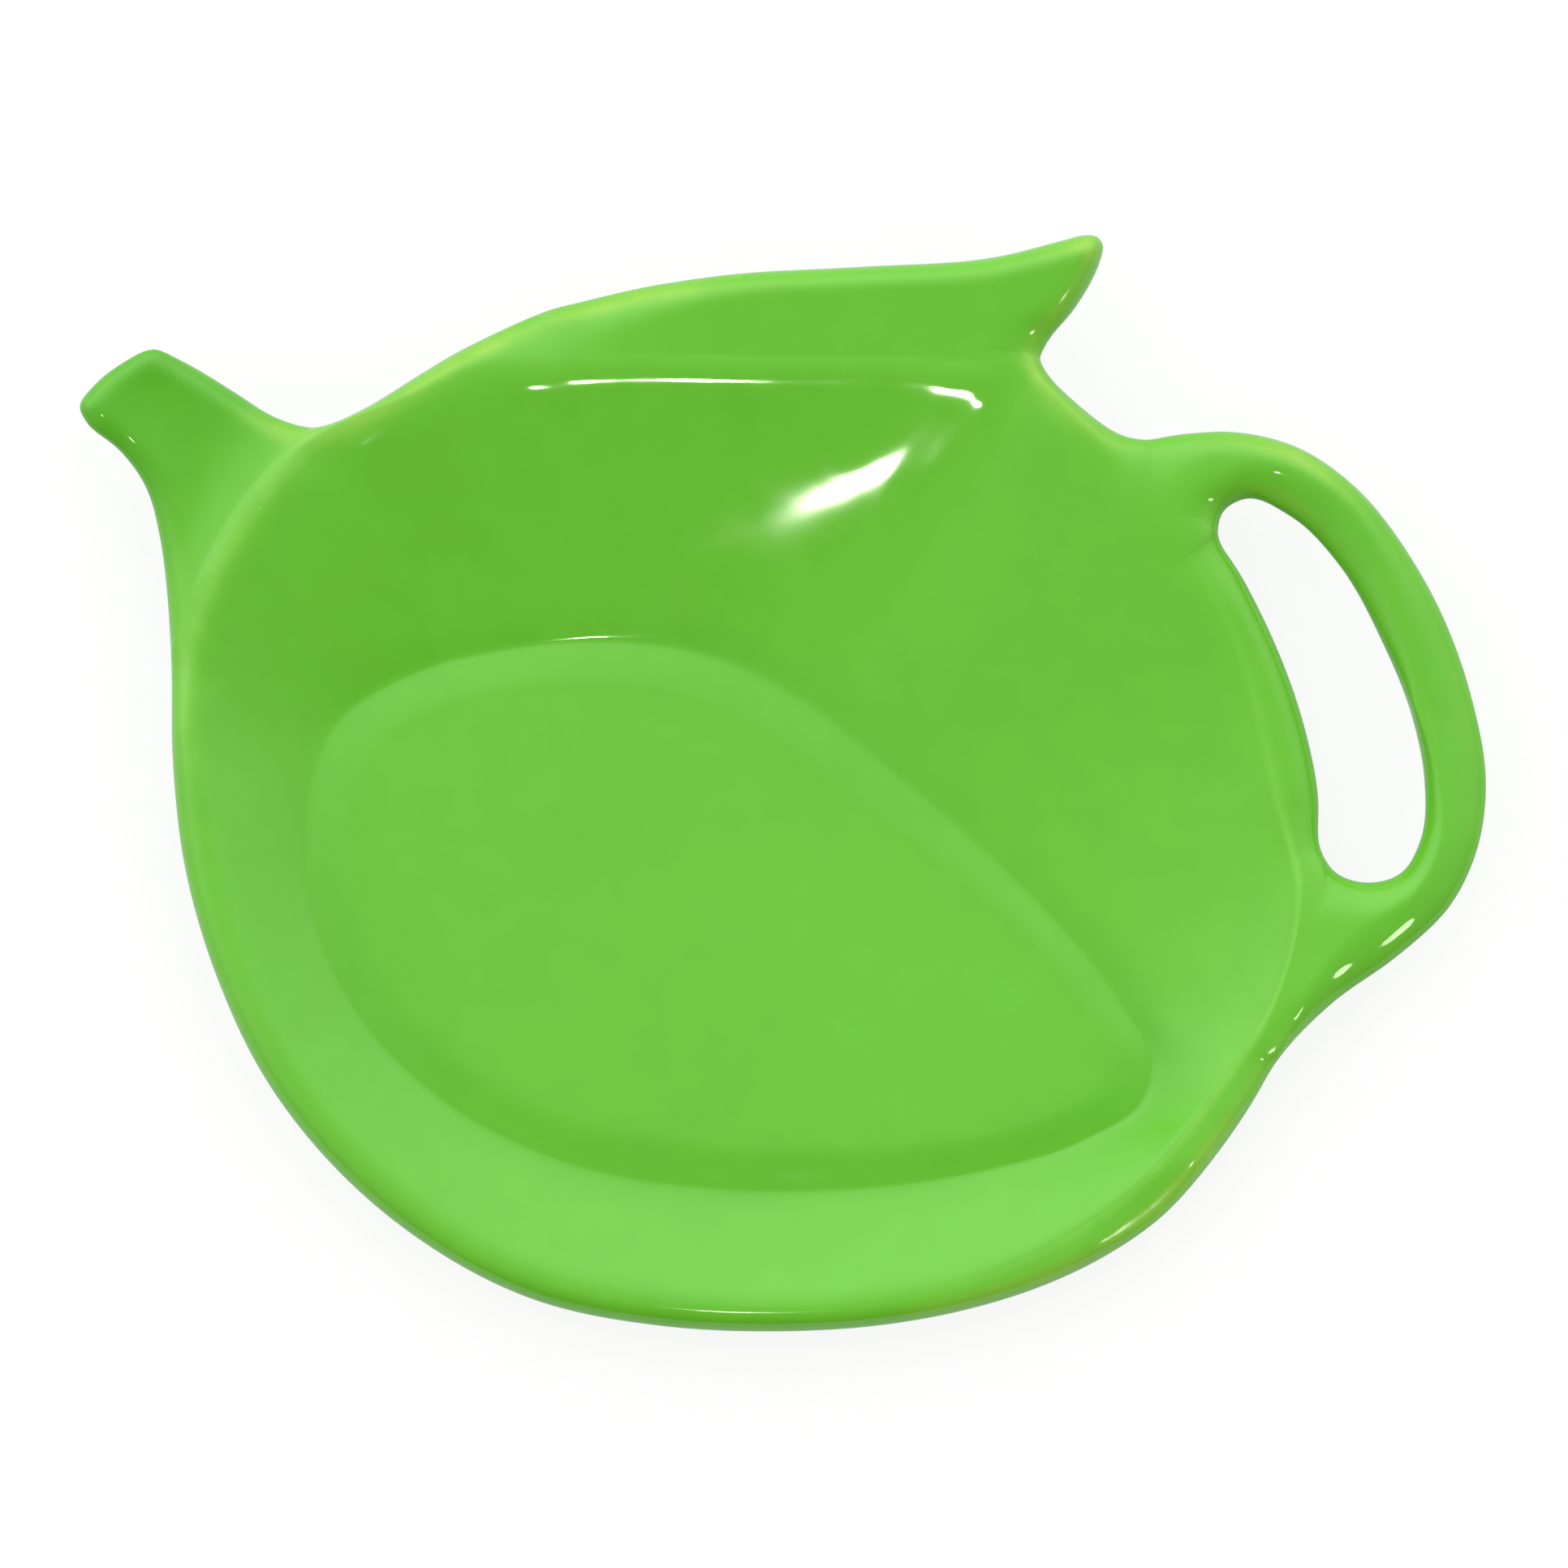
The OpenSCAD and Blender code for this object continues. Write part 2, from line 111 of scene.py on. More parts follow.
# Steps of the cage, from the middle of the oval out, and along what grows out of the rim
PLATEAU_SHARES = (0.3, 0.6, 0.8, 0.92)
STEP_ROWS, WALL_ROWS, ROLL_ROWS = 7, 16, 6
UNDER_ROWS, BASE_ROWS = 5, 8
SPOUT_ROWS, LID_ROWS, HANDLE_ROWS = 18, 16, 60
CURVE_STEPS = 12
EASE = 0.8
SUBDIVISIONS = 2
# The oval's slant is taken between the points this far to either side
NORMAL_SPAN = radians(4)

# Where the glaze runs thin and pales along free edges, with painted sheen on the upper and spout
# edges that face the light, most of all in some places, and on the crest. Each place has its
# shares of the length and of the width, and its radius.
EDGE_TINT_AT, EDGE_TINT_W = 0.0009, 0.0007
EDGE_TINT_LEAST = 0.1
THIN_AND_SHEEN_PLACES = [
    (0.80, 0.12, 0.012), (0.74, 0.07, 0.012), (0.66, 0.03, 0.008), (0.70, 0.86, 0.006),
    (0.705, 0.93, 0.005), (0.72, 0.99, 0.003), (0.86, 0.81, 0.006), (0.20, 0.845, 0.006),
    (0.139, 0.834, 0.006), (0.0535, 0.89, 0.005), (0.28, 0.90, 0.007), (0.39, 0.95, 0.008),
]
# A lighter band along the crest by the spout: thin glaze, and a painted highlight on the ridge
# that faces the light
SPOUT_RIDGE_GLAZE_AND_HIGHLIGHT, SPOUT_RIDGE_GLAZE_AND_HIGHLIGHT_W = 0.9, 0.0009
THIN_ROUGH = 0.13
# Where it pools beside the oval; and painted shade on the spout beyond the crest, where its
# surface turns from the light
POOL_AT, POOL_W, POOL_SHARE = 0.0012, 0.0022, 0.35
SPOUT_SHADE = (0.0015, 0.008)
SPOUT_AT = radians(143)
SPOUT_SPAN = (radians(14), radians(26))

# Materials. Colours are linear.
GREEN = (0.140, 0.545, 0.028)
# Pale green of thin glaze, which is also painted sheen on the edges that face the light
THIN_GLAZE_AND_SHEEN_GREEN = (0.320, 0.650, 0.065)
# Lighter green of the crest's thin glaze, which is also a painted highlight on the ridge by the
# spout
CREST_GLAZE_AND_HIGHLIGHT_GREEN = (0.235, 0.640, 0.075)
# Deeper green where the glaze pools, which is also painted shade on the spout
POOL_AND_SHADE_GREEN = (0.112, 0.480, 0.020)
CLAY = (0.80, 0.74, 0.64)
DARK_CLAY = (0.62, 0.52, 0.40)
GLAZE_IOR = 1.5
NOISE_MID, NOISE_WIDE = (0.3, 0.7), (0.25, 0.75)
PIT_SPACING, PIT_SHARE, PIT_R, PIT_DEPTH, PIT_PALE = 0.009, 0.3, 0.00022, 0.00003, 0.5
WAVE_SIZE, WAVE_DEPTH = 0.0035, 0.0000012
CLAY_GRAIN = 0.00002
GLAZE_LINE, GLAZE_FADE, GLAZE_RAGGED = 0.0004, 0.00015, 0.0006
RING_ROUND, RING_SEGMENTS, RING_ANGLE = 0.0003, 3, radians(40)

# Stage
FLOOR_HALF, FLOOR_GREY, FLOOR_ROUGH = 1.5, 0.85, 0.9
FLOOR_GLOW, FLOOR_GLOW_SHARE = 1.06, 0.8
# The studio's walls are soft lobes of light round the sky: azimuth in degrees and level
SKY = {0: 0.60, 45: 0.75, 90: 0.82, 135: 0.91, 180: 1.01}
SKY_ZENITH, SKY_SHARPNESS = 55, 3
# Two small lamps, whose mirror images are the highlights. Each has its azimuth, where
# 0 is towards +X and 90 towards +Y, its zenith angle, its size and its radiance.
LAMPS = {
    "low_lamp": (-93.0, 22.5, (0.025, 0.036), 130),
    "side_lamp": (-46, 52, (0.085, 0.24), 15),
}
LAMP_DISTANCE = 1.2
LAMP_COLOUR = (1.0, 1.0, 0.8)
CAMERA_HEIGHT, RIM_LEVEL = 1.2, 0.009
PHOTO_PX, REST_PX = 1932, 1734

# Points of the plan, as shares of the length and of the width. They run
# anticlockwise, seen from above.
CENTRE = (0.445, 0.378)
CREST = [
    (0.866, 0.407), (0.852, 0.475), (0.820, 0.633), (0.768, 0.744),
    (0.716, 0.822), (0.671, 0.873), (0.623, 0.884), (0.497, 0.889),
    (0.347, 0.890), (0.289, 0.885), (0.231, 0.852), (0.172, 0.820),
    (0.129, 0.762), (0.090, 0.674), (0.0755, 0.593), (0.088, 0.452),
    (0.125, 0.292), (0.2015, 0.155), (0.310, 0.060), (0.4265, 0.026),
    (0.5435, 0.0255), (0.658, 0.059), (0.751, 0.135), (0.808, 0.222),
    (0.854, 0.319),
]
OVAL = [
    (0.755, 0.248), (0.732, 0.303), (0.653, 0.417), (0.571, 0.507),
    (0.510, 0.568), (0.447, 0.608), (0.375, 0.622), (0.301, 0.615),
    (0.238, 0.593), (0.190, 0.554), (0.165, 0.445), (0.206, 0.288),
    (0.263, 0.216), (0.344, 0.164), (0.445, 0.140), (0.543, 0.138),
    (0.629, 0.151), (0.710, 0.181), (0.748, 0.213),
]
OUTLINE = {
    "lower_edge": [
        (0.064, 0.615), (0.065, 0.519), (0.073, 0.427), (0.0955, 0.326),
        (0.133, 0.226), (0.1705, 0.163), (0.231, 0.0925), (0.3205, 0.0295),
        (0.413, 0.005), (0.490, 0.000), (0.577, 0.007), (0.635, 0.0215),
        (0.685, 0.042), (0.729, 0.069),
    ],
    "right_edge": [(0.766, 0.1015), (0.810, 0.165), (0.832, 0.206)],
    "handle_outer": [
        (0.851, 0.247), (0.889, 0.2985), (0.938, 0.344), (0.975, 0.3895),
        (0.995, 0.446), (1.000, 0.4985), (0.990, 0.576), (0.950, 0.698),
        (0.900, 0.778), (0.867, 0.806), (0.820, 0.821), (0.780, 0.8185),
    ],
    "shoulder": [
        (0.755, 0.814), (0.739, 0.818), (0.7245, 0.8295), (0.707, 0.848),
        (0.6875, 0.873),
    ],
    "lid_end": [
        (0.682, 0.887), (0.686, 0.900), (0.706, 0.932), (0.7175, 0.9555),
        (0.725, 0.978),
    ],
    "lid_top": [
        (0.7265, 0.990), (0.7225, 0.9985), (0.7145, 1.000), (0.698, 0.995),
        (0.655, 0.981), (0.554, 0.971), (0.462, 0.964), (0.399, 0.952),
        (0.355, 0.939),
    ],
    "lid_start": [(0.336, 0.933)],
    "upper_edge": [
        (0.321, 0.926), (0.2975, 0.9125), (0.266, 0.8925), (0.231, 0.865),
        (0.2005, 0.841),
    ],
    "spout_upper": [(0.166, 0.825), (0.139, 0.834), (0.110, 0.857), (0.073, 0.885)],
    "spout_tip": [(0.0535, 0.8955), (0.029, 0.882), (0.009, 0.861), (0.000, 0.844)],
    "spout_lower": [
        (0.006, 0.828), (0.028, 0.8045), (0.0465, 0.772), (0.0565, 0.724),
        (0.0615, 0.670),
    ],
}
HOLE = {
    "hole_dish": [
        (0.883, 0.437), (0.8805, 0.490), (0.867, 0.568), (0.847, 0.635),
        (0.824, 0.693),
    ],
    "hole_loop": [
        (0.8085, 0.728), (0.812, 0.748), (0.8275, 0.760), (0.860, 0.744),
        (0.8945, 0.700), (0.925, 0.631), (0.9475, 0.559), (0.956, 0.502),
        (0.953, 0.448), (0.9395, 0.4185), (0.9135, 0.410), (0.892, 0.420),
    ],
}


# Plan
def soft(s):
    return s * s * (3 - 2 * s)


def mix(a, b, s):
    return a + (b - a) * s


def place(points):
    return (np.array(points, float) - 0.5) * (REST_L, REST_W)


def length_of(v):
    return np.linalg.norm(v, axis=-1)


def closed_curve(points):
    """Smooth closed curve through points, with CURVE_STEPS points for each."""
    before, after = np.roll(points, 1, 0), np.roll(points, -1, 0)
    a = length_of(points - before)[:, None]
    b = length_of(after - points)[:, None]
    lean = ((points - before) * b / a + (after - points) * a / b) / (a + b)
    made = []
    for s in np.arange(CURVE_STEPS) / CURVE_STEPS:
        made.append(
            points * (1 + 2 * s) * (1 - s) ** 2 + after * s * s * (3 - 2 * s)
            + lean * b * s * (1 - s) ** 2 - np.roll(lean, -1, 0) * b * s * s * (1 - s)
        )
    return np.stack(made, 1).reshape(-1, 2)


def loop(points):
    curve = closed_curve(place(points))
    return np.concatenate([curve, curve[:1]])


def stretches(lists):
    """The named stretches of a closed curve, each ending where the next begins."""
    curve = closed_curve(place([p for points in lists.values() for p in points]))
    curve = np.concatenate([curve, curve[:1]])
    made, start = {}, 0
    for name, points in lists.items():
        end = start + len(points) * CURVE_STEPS
        made[name] = curve[start:end + 1]
        start = end
    return made


def along(curve, shares):
    """Points at shares of a curve's length."""
    at = np.concatenate([[0], np.cumsum(length_of(np.diff(curve, axis=0)))])
    return np.stack([np.interp(np.array(shares) * at[-1], at, curve[:, k]) for k in (0, 1)], 1)


def cross(a, b):
    return a[..., 0] * b[..., 1] - a[..., 1] * b[..., 0]


def reach(curve, way):
    """Distance from the centre to a curve, in a direction."""
    a, b = curve[:-1] - centre, curve[1:] - centre
    side_a, side_b = cross(way, a), cross(way, b)
    hit = (side_a > 0) != (side_b > 0)
    s = (side_a[hit] / (side_a[hit] - side_b[hit]))[:, None]
    return float((mix(a[hit], b[hit], s) @ way).max())


def on(curve, way):
    return centre + way * reach(curve, way)


def turned(way, angle):
    return np.array([way[0] * cos(angle) - way[1] * sin(angle),
                     way[0] * sin(angle) + way[1] * cos(angle)])


def even(n):
    return np.linspace(0, 1, n + 1)


def late(n):
    return np.sin(even(n) * pi / 2)


def both_ends(n):
    """Steps that are shorter near both ends, the first a fifth as long as even ones."""
    return mix(even(n), (1 - np.cos(even(n) * pi)) / 2, EASE)


centre = place(CENTRE)
crest, oval = loop(CREST), loop(OVAL)
edges = {**stretches(OUTLINE), **stretches(HOLE)}

# The rim in nine zones, anticlockwise: first corner, free edge or none, sections
ZONES = [
    ("handle_outer", None, 16),
    ("hole_dish", "hole_dish", 18),
    ("hole_loop", None, 16),
    ("shoulder", "shoulder", 10),
    ("lid_end", None, 40),
    ("upper_edge", "upper_edge", 12),
    ("spout_upper", None, 20),
    ("lower_edge", "lower_edge", 84),
    ("right_edge", "right_edge", 20),
]
LOW_ROOT, TOP_ROOT, LID_ROOT, SPOUT_ROOT = 0, 2, 4, 6


def corner(k):
    return edges[ZONES[k % len(ZONES)][0]][0]


def is_root(k):
    return ZONES[k][1] is None


def zone_shares(k):
    return both_ends(ZONES[k][2])


def rim_way(k, s):
    start, end = corner(k) - centre, corner(k + 1) - centre
    a, b = np.arctan2(start[1], start[0]), np.arctan2(end[1], end[0])
    angle = mix(a, b + (2 * pi if b < a else 0), s)
    return np.array([cos(angle), sin(angle)])


def leave_corner(s):
    return soft(min(1, min(s, 1 - s) / CORNER_SHARE))


def land(k, s):
    """Distance from the crest to a root's line, which leaves its corners smoothly."""
    spoke = corner(k if s < 0.5 else k + 1) - centre
    at_corner = length_of(spoke) - reach(crest, spoke / length_of(spoke))
    return mix(at_corner, ROOT_LAND, leave_corner(s))


def rim_end(k, s):
    """End of the rim at a share of a zone."""
    if s in (0, 1):
        return corner(k + int(s))
    way = rim_way(k, s)
    if is_root(k):
        return centre + way * (reach(crest, way) + land(k, s))
    return centre + way * reach(edges[ZONES[k][1]], way)


def root_line(k):
    return np.array([rim_end(k, s) for s in zone_shares(k)])


def between(value, span):
    return soft(np.clip((value - span[0]) / (span[1] - span[0]), 0, 1))


def plan_shares(points):
    return points[..., 0] / REST_L + 0.5, points[..., 1] / REST_W + 0.5


def rim_mid(points):
    """Middle height of the rim, which falls towards the lower side and rises on the lid."""
    x, y = plan_shares(points)
    lid = np.clip((y - LID_FROM) / (1 - LID_FROM), 0, 1) * between(x, LID_SPAN)
    return RIM_H - RIM_T / 2 - RIM_DROP * (1 - between(y, DROP_SPAN)) + LID_RISE * lid


def round_over(s):
    """Quarter of an ellipse that rises from 0 to 1."""
    return np.sqrt(1 - (1 - np.clip(s, 0, 1)) ** 2)


def gap(points, curve):
    """Distance from points to a curve."""
    a, b = curve[:-1], curve[1:]
    d = b - a
    keep = (d * d).sum(1) > 0
    a, d = a[keep], d[keep]
    made = []
    for p in np.asarray(points).reshape(-1, 2):
        s = np.clip(((p - a) * d).sum(1) / (d * d).sum(1), 0, 1)
        made.append(length_of(p - a - d * s[:, None]).min())
    return np.array(made).reshape(np.shape(points)[:-1])


outline = np.concatenate([edges[name] for name in OUTLINE])
hole = np.concatenate([edges[name] for name in HOLE])


def edge_gap(points):
    return np.minimum(gap(points, outline), gap(points, hole))


def roll_width(points):
    """The roll is wide at the lid's low end, and narrow where the crest is close."""
    x, y = plan_shares(points)
    low_end = between(x, LOW_END_IN) * (1 - between(x, LOW_END_OUT)) * between(y, LOW_END_UP)
    widest = ROLL_W + LOW_END_ROLL * low_end
    return np.clip(gap(points, crest) + edge_gap(points), 1e-6, widest)


def rim_share(points, roll=None):
    """Share of the thickness that the rounded edges leave."""
    roll = roll_width(points) if roll is None else roll
    return np.maximum(EDGE_SHARE, round_over(edge_gap(points) / roll))


# Sections of the dish
stations = [(k, s) for k in range(len(ZONES)) for s in zone_shares(k)[:-1]]
COUNT = len(stations)
ways = np.array([rim_way(k, s) for k, s in stations])
oval_edge = np.array([on(oval, w) for w in ways])
crest_line = np.array([on(crest, w) for w in ways])
rim_line = np.array([rim_end(k, s) for k, s in stations])
around = np.array([
    on(oval, turned(w, NORMAL_SPAN)) - on(oval, turned(w, -NORMAL_SPAN)) for w in ways
])
oval_out = np.stack([around[:, 1], -around[:, 0]], 1) / length_of(around)[:, None]
end_dip = np.array([RIDGE_DIP * sin(pi * s) if k == SPOUT_ROOT else 0 for k, s in stations])
off_corner = np.array([leave_corner(s) if is_root(k) else 0 for k, s in stations])
oval_middle = oval_edge.mean(0)


def off_way(angle):
    """Each section's angle from a direction, from 0 to pi."""
    return np.abs((np.arctan2(ways[:, 1], ways[:, 0]) - angle + pi) % (2 * pi) - pi)


crisp = 1 - between(off_way(CRISP_AT), CRISP_SPAN)
fillet = mix(FILLET_SOFT, FILLET_CRISP, crisp)
fillet = mix(FILLET_RIDGE, fillet, between(off_way(RIDGE_AT), RIDGE_SPAN))
off_straight = between(off_way(STRAIGHT_AT), STRAIGHT_SPAN)
wall_lift = mix(STRAIGHT_LIFT, WALL_LIFT, off_straight)
wall_sweep = WALL_R * mix(STRAIGHT_SWEEP, 1, off_straight)


def raised(xy, z):
    return np.concatenate([xy, np.broadcast_to(z, (len(xy),))[:, None]], 1)


def wall_share(x, run, rise, lift, fillet, sweep_r=WALL_R):
    """Rise of the wall from 0 to 1, at distances from its foot: a sweep, a steepening
    slope and a fillet. A short wall is straighter."""
    room = between(run, SHORT_RUN)
    lift = lift * room
    sweep = sweep_r * rise / run * mix(SHORT_SWEEP, 1, room)
    deep = np.hypot(run, sweep) - sweep

    def slope_part(x):
        return (1 - lift) * (np.hypot(x, sweep) - sweep) / deep + lift * (x / run) ** 3

    def steepness(x):
        return (1 - lift) * x / np.hypot(x, sweep) / deep + 3 * lift * x * x / run ** 3

    turn = run - fillet
    end = slope_part(turn) + steepness(turn) * fillet / 2
    left = np.clip((run - x) / fillet, 0, 1)
    rounded = end - steepness(turn) * fillet / 2 * left ** 2
    return np.where(x < turn, slope_part(x), rounded) / end


def wall_rows(low, low_z, top_z, shares, *shape):
    """Rows from the wall's foot to the crest, at shares of the way."""
    run = length_of(crest_line - low)
    return [raised(mix(low, crest_line, s),
                   mix(low_z, top_z, wall_share(run * s, run, top_z - low_z, *shape)))
            for s in shares]


def roll_rows(side, count):
    """Rows from the crest to the rim's end: close together at a free edge, even at a root."""
    made = []
    for at_edge, at_root in zip(late(count), even(count)):
        f = mix(at_edge, at_root, off_corner)
        xy = mix(crest_line, rim_line, f[:, None])
        mid = rim_mid(xy) - end_dip * f * f
        made.append(raised(xy, mid + side * RIM_T / 2 * rim_share(xy)))
    return made


def dish_rows():
    """Rings of the upper side from the middle out, then of the under side back."""
    step_in = oval_edge - ways * STEP_W * (1 - STEP_OUT)
    valley = oval_edge + ways * STEP_W * STEP_OUT
    crest_z = rim_mid(crest_line) + RIM_T / 2
    upper = [raised(mix(oval_middle, step_in, s), MOAT_H + OVAL_RISE) for s in PLATEAU_SHARES]
    upper += [raised(mix(step_in, valley, s), MOAT_H + OVAL_RISE * (1 - 2 * s * s + s ** 3))
              for s in both_ends(STEP_ROWS)]
    upper += wall_rows(valley, MOAT_H, crest_z, both_ends(WALL_ROWS)[1:], wall_lift, fillet,
                       wall_sweep)
    crest_row = len(upper) - 1
    upper += roll_rows(1, ROLL_ROWS)[1:]
    under = roll_rows(-1, UNDER_ROWS)[::-1]
    pad = oval_edge + oval_out * PAD_HALF
    under += wall_rows(pad, FOOT_H, crest_z - RIM_T, even(BASE_ROWS)[::-1][1:], 0, FILLET_CRISP)
    inner = oval_edge - oval_out * (PAD_HALF + RECESS_H)
    under += [raised(oval_edge - oval_out * PAD_HALF, FOOT_H), raised(inner, FOOT_H + RECESS_H)]
    under += [raised(mix(oval_middle, inner, s), FOOT_H + RECESS_H)
              for s in reversed(PLATEAU_SHARES)]
    return np.array(upper), np.array(under), crest_row


# What grows out of the rim
def patch(side_a, side_b, end_a, end_b, us, vs, fade):
    """Grid of points between four curves. An end's bow fades out along the sides."""
    def bow(end):
        return end - mix(end[0], end[-1], vs[:, None])
    grid = mix(side_a[:, None], side_b[:, None], vs[None, :, None])
    at_a = (1 - soft(np.minimum(1, us / fade)))[:, None, None]
    at_b = (1 - soft(np.minimum(1, (1 - us) / fade)))[:, None, None]
    return grid + bow(end_a)[None] * at_a + bow(end_b)[None] * at_b


def sheet(grid, mid, thick):
    """Upper and under side over a grid of points."""
    upper = np.concatenate([grid, (mid + thick / 2)[..., None]], 2)
    under = np.concatenate([grid, (mid - thick / 2)[..., None]], 2)
    return upper, under


def spout_sheet():
    us, vs = both_ends(SPOUT_ROWS), zone_shares(SPOUT_ROOT)
    side_a = along(edges["spout_upper"], us)
    side_b = along(edges["spout_lower"][::-1], us)
    grid = patch(side_a, side_b, root_line(SPOUT_ROOT), along(edges["spout_tip"], vs), us, vs,
                 BOW_SHARE)
    u, v = us[:, None], vs[None, :]
    mid = (rim_mid(grid) - RIDGE_DIP * np.sin(pi * v)
           - SPOUT_DIP * (1 - np.exp(-u / FALL_SHARE)) + SPOUT_RISE * u ** RISE_POWER)
    return sheet(grid, mid, mix(RIM_T, SPOUT_T, u) * rim_share(grid))


def lid_sheet():
    us, vs = both_ends(LID_ROWS), zone_shares(LID_ROOT)
    side_a = along(edges["lid_end"], us)
    side_b = along(edges["lid_start"][::-1], us)
    grid = patch(side_a, side_b, root_line(LID_ROOT), along(edges["lid_top"], vs), us, vs,
                 BOW_SHARE)
    return sheet(grid, rim_mid(grid), RIM_T * rim_share(grid))


def handle_sheet():
    us, vs = both_ends(HANDLE_ROWS), zone_shares(TOP_ROOT)
    side_a = along(edges["hole_loop"], us)
    side_b = along(edges["handle_outer"][::-1], us)
    grid = patch(side_a, side_b, root_line(TOP_ROOT), root_line(LOW_ROOT)[::-1],
                 us, vs, ROOT_SHARE)
    root = soft(np.minimum(1, np.minimum(us, 1 - us) / ROOT_SHARE))[:, None]
    width = length_of(side_b - side_a)[:, None]
    narrow = roll_width(grid)
    lean = np.interp(us, *np.array(HANDLE_LEAN).T)[:, None]
    inner = round_over(gap(grid, hole) / mix(narrow, width * lean, root))
    outer = round_over(gap(grid, outline) / mix(narrow, width * (1 - lean), root))
    thick = mix(RIM_T, HANDLE_T, root) * np.maximum(EDGE_SHARE, np.minimum(inner, outer))
    return sheet(grid, rim_mid(grid), thick)


class Cage:
    """Vertices and faces gathered from grids. Equal points merge."""

    def __init__(self):
        self.points, self.faces, self.index = [], [], {}

    def add(self, point):
        key = tuple(np.round(point, 7))
        if key not in self.index:
            self.index[key] = len(self.points)
            self.points.append(np.array(point))
        return self.index[key]

    def rows(self, rows, closed=False):
        ids = [[self.add(p) for p in row] for row in rows]
        for a, b in zip(ids, ids[1:]):
            count = len(a) if closed else len(a) - 1
            for j in range(count):
                k = (j + 1) % len(a)
                self.faces.append([a[j], a[k], b[k], b[j]])
        return ids

    def cap(self, row):
        self.faces.append(list(row))


def build_cage():
    cage = Cage()
    upper, under, crest_row = dish_rows()
    upper_ids = cage.rows(upper, closed=True)
    under_ids = cage.rows(under, closed=True)
    cage.cap(upper_ids[0])
    cage.cap(under_ids[-1])
    starts = np.cumsum([0] + [zone[2] for zone in ZONES])
    for k in range(len(ZONES)):
        if not is_root(k):
            here = [i % COUNT for i in range(starts[k], starts[k + 1] + 1)]
            cage.rows([upper[-1][here], under[0][here]])
    for upper_grid, under_grid in (spout_sheet(), lid_sheet()):
        cage.rows(upper_grid)
        cage.rows(under_grid)
        rim = [(i, 0) for i in range(len(upper_grid))]
        rim += [(len(upper_grid) - 1, j) for j in range(1, len(upper_grid[0]))]
        rim += [(i, -1) for i in range(len(upper_grid) - 2, -1, -1)]
        cage.rows([[upper_grid[i][j] for i, j in rim], [under_grid[i][j] for i, j in rim]])
    upper_grid, under_grid = handle_sheet()
    cage.rows(upper_grid)
    cage.rows(under_grid)
    for j in (0, -1):
        cage.rows([upper_grid[:, j], under_grid[:, j]])
    return cage, upper_ids, under_ids, crest_row


def calm(points, faces):
    """Evens out the heights round the corners where a root meets a free edge."""
    links = {tuple(sorted(pair)) for face in faces for pair in zip(face, face[1:] + face[:1])}
    a, b = np.array(sorted(links)).T
    count = np.bincount(a, minlength=len(points)) + np.bincount(b, minlength=len(points))
    corners = np.array([corner(k) for k in range(len(ZONES))])
    far = length_of(points[:, None, :2] - corners[None]).min(1)
    weight = soft(np.clip(CALM_EDGE - CALM_EDGE * far / CALM_R, 0, 1))
    z = points[:, 2].copy()
    for _ in range(CALM_PASSES):
        total = np.bincount(a, z[b], len(points)) + np.bincount(b, z[a], len(points))
        z = mix(z, total / count, weight * CALM_SHARE)
    return np.concatenate([points[:, :2], z[:, None]], 1)


def object_from(name, points, faces):
    mesh = bpy.data.meshes.new(name)
    mesh.from_pydata([tuple(p) for p in points], [], faces)
    bm = bmesh.new()
    bm.from_mesh(mesh)
    bmesh.ops.recalc_face_normals(bm, faces=bm.faces)
    bm.to_mesh(mesh)
    bm.free()
    mesh.shade_smooth()
    made = bpy.data.objects.new(name, mesh)
    bpy.context.scene.collection.objects.link(made)
    return made


def subdivide(piece):
    modifier = piece.modifiers.new("smooth", "SUBSURF")
    modifier.levels = modifier.render_levels = SUBDIVISIONS
    modifier.use_limit_surface = False


def bell(distance, width):
    return np.exp(-(distance / width) ** 2)


